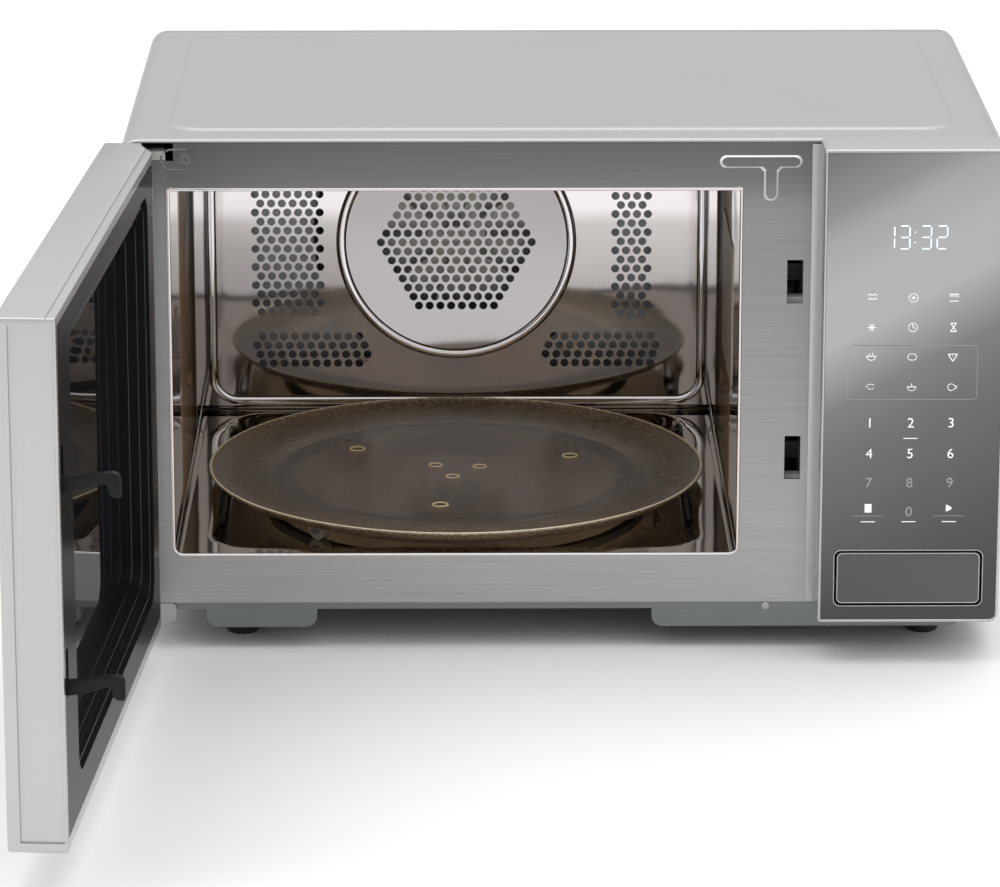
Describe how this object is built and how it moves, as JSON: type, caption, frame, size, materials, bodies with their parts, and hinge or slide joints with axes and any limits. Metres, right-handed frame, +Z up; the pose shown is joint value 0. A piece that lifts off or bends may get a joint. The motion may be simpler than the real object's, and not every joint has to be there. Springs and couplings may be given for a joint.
{
  "type": "convection microwave oven",
  "caption": "Countertop convection microwave oven with a side-hinged door resting open, push-open button, touch panel and glass turntable.",
  "frame": {"origin": "on the standing surface, under the middle of the whole oven's box with its door resting open", "axes": "+Z up, front of the oven towards -Y, its right-hand side (control panel) towards +X"},
  "size_m": [0.5896, 0.8902, 0.331],
  "materials": {
    "painted_silver": "fine metallic silver paint, satin",
    "zinc_sheet": "zinc-plated sheet",
    "base_sheet": "dark coated sheet",
    "foot_rubber": "moulded rubber",
    "brushed_front": "brushed lengthways",
    "cavity_steel": "bright annealed, mirror-like",
    "mica": "pressed mica sheet",
    "magnetron_metal": "bare pressed metal",
    "heater_sheath": "heat-darkened sheath",
    "fan_metal": "pressed wheel",
    "motor_body": "zinc-plated and painted",
    "lamp_glass": "clear bulb",
    "iron_core": "varnished plates",
    "copper_winding": "enamelled wire",
    "can_metal": "drawn can",
    "black_plastic": "moulded",
    "white_plastic": "moulded, off-white",
    "circuit_board": "glass fibre board with components",
    "coupler_plastic": "heat-resistant plastic",
    "ring_plastic": "heat-resistant plastic",
    "roller_plastic": "heat-resistant plastic",
    "tray_glass": "toughened, pebbled below",
    "bezel_silver": "fine silver finish",
    "panel_mirror": "dark mirror-grey window",
    "button_grey": "gloss, dark grey",
    "spring_steel": "spring wire",
    "door_glass": "dark glass with printed border",
    "door_screen": "black enamelled screen plate",
    "choke_plastic": "charcoal, semi-gloss",
    "window_sheet": "thin dark window",
    "hook_plastic": "acetal, black",
    "pin_steel": "bright plated"
  },
  "bodies": {
    "cabinet": {"outer_wrapper": "painted_silver", "rear_panel": "zinc_sheet", "convection_cover": "zinc_sheet", "base_plate": "base_sheet", "foot_front_left": "foot_rubber", "foot_front_right": "foot_rubber", "foot_rear_left": "foot_rubber", "foot_rear_right": "foot_rubber", "front_frame": "brushed_front", "cavity_walls": "cavity_steel", "cavity_floor": "cavity_steel", "cavity_rear_wall": "cavity_steel", "waveguide_cover": "mica", "waveguide": "zinc_sheet", "magnetron": "magnetron_metal", "convection_casing": "zinc_sheet", "convection_heater": "heater_sheath", "convection_motor": "motor_body", "cavity_lamp": "lamp_glass", "lamp_holder": "zinc_sheet", "transformer_core": "iron_core", "transformer_windings": "copper_winding", "capacitor": "can_metal", "diode": "black_plastic", "cooling_fan_motor": "motor_body", "fan_shroud": "white_plastic", "air_duct": "white_plastic", "noise_filter": "circuit_board", "thermal_cutouts": "magnetron_metal", "turntable_motor": "motor_body", "panel_bezel": "bezel_silver", "panel_glass": "panel_mirror", "display_module": "black_plastic", "control_board": "circuit_board", "button_spring": "spring_steel", "latch_bracket": "white_plastic", "microswitches": "black_plastic", "hinge_upper": "zinc_sheet", "hinge_lower": "zinc_sheet", "hinge_pins": "pin_steel", "cord_gland": "black_plastic", "screws": "pin_steel"},
    "door": {"door_frame": "bezel_silver", "door_outer_glass": "door_glass", "door_inner_plate": "door_screen", "choke_cover": "choke_plastic", "door_inner_glass": "window_sheet", "latch_spring": "spring_steel"},
    "latch": {"latch_key": "hook_plastic"},
    "button": {"open_button": "button_grey"},
    "lever": {"release_lever": "white_plastic"},
    "turntable": {"drive_coupler": "coupler_plastic", "glass_tray": "tray_glass"},
    "roller_guide": {"roller_ring": "ring_plastic"},
    "wheel_1": {"roller_1": "roller_plastic"},
    "wheel_2": {"roller_2": "roller_plastic"},
    "wheel_3": {"roller_3": "roller_plastic"},
    "convection_wheel": {"convection_fan": "fan_metal"},
    "cooling_wheel": {"cooling_fan_blade": "white_plastic"}
  },
  "joints": [
    {"name": "door_hinge", "type": "hinge", "parent": "cabinet", "child": "door", "pos_m": [-0.24973, -0.01939, 0.18], "axis": [0, 0, 1], "range_deg": [-16, 94]},
    {"name": "latch_slide", "type": "slide", "parent": "door", "child": "latch", "axis": [0, 0, 1], "range_m": [0, 0.006], "stiffness_N_per_m": 300, "springref_m": -0.008, "deforming": ["latch_spring"]},
    {"name": "button_press", "type": "slide", "parent": "cabinet", "child": "button", "axis": [0, 1, 0], "range_m": [0, 0.005], "stiffness_N_per_m": 400, "springref_m": -0.004, "deforming": ["button_spring"]},
    {"name": "lever_tilt", "type": "hinge", "parent": "cabinet", "child": "lever", "pos_m": [0.18327, 0.00811, 0.084], "axis": [1, 0, 0], "range_deg": [0, 11.6]},
    {"name": "turntable_spin", "type": "hinge", "parent": "cabinet", "child": "turntable", "pos_m": [-0.04873, 0.17511, 0.06], "axis": [0, 0, 1], "continuous": true},
    {"name": "roller_guide_spin", "type": "hinge", "parent": "cabinet", "child": "roller_guide", "pos_m": [-0.04873, 0.17511, 0.0566], "axis": [0, 0, 1], "continuous": true},
    {"name": "wheel_1_spin", "type": "hinge", "parent": "roller_guide", "child": "wheel_1", "pos_m": [0.07941, 0.14787, 0.0566], "axis": [0.9781, -0.2079, 0], "continuous": true},
    {"name": "wheel_2_spin", "type": "hinge", "parent": "roller_guide", "child": "wheel_2", "pos_m": [-0.08921, 0.2997, 0.0566], "axis": [-0.309, 0.9511, 0], "continuous": true},
    {"name": "wheel_3_spin", "type": "hinge", "parent": "roller_guide", "child": "wheel_3", "pos_m": [-0.13639, 0.07776, 0.0566], "axis": [-0.6691, -0.7431, 0], "continuous": true},
    {"name": "convection_fan_spin", "type": "hinge", "parent": "cabinet", "child": "convection_wheel", "pos_m": [-0.04833, 0.37011, 0.182], "axis": [0, 1, 0], "continuous": true},
    {"name": "cooling_fan_spin", "type": "hinge", "parent": "cabinet", "child": "cooling_wheel", "pos_m": [0.21327, 0.27111, 0.214], "axis": [0, 1, 0], "continuous": true}
  ],
  "couplings": [
    {"joint": "lever_tilt", "follows": "button_press", "rad_per_m": 40.143},
    {"joint": "roller_guide_spin", "follows": "turntable_spin", "ratio": 0.5},
    {"joint": "wheel_1_spin", "follows": "turntable_spin", "ratio": -9.3571},
    {"joint": "wheel_2_spin", "follows": "turntable_spin", "ratio": -9.3571},
    {"joint": "wheel_3_spin", "follows": "turntable_spin", "ratio": -9.3571}
  ]
}
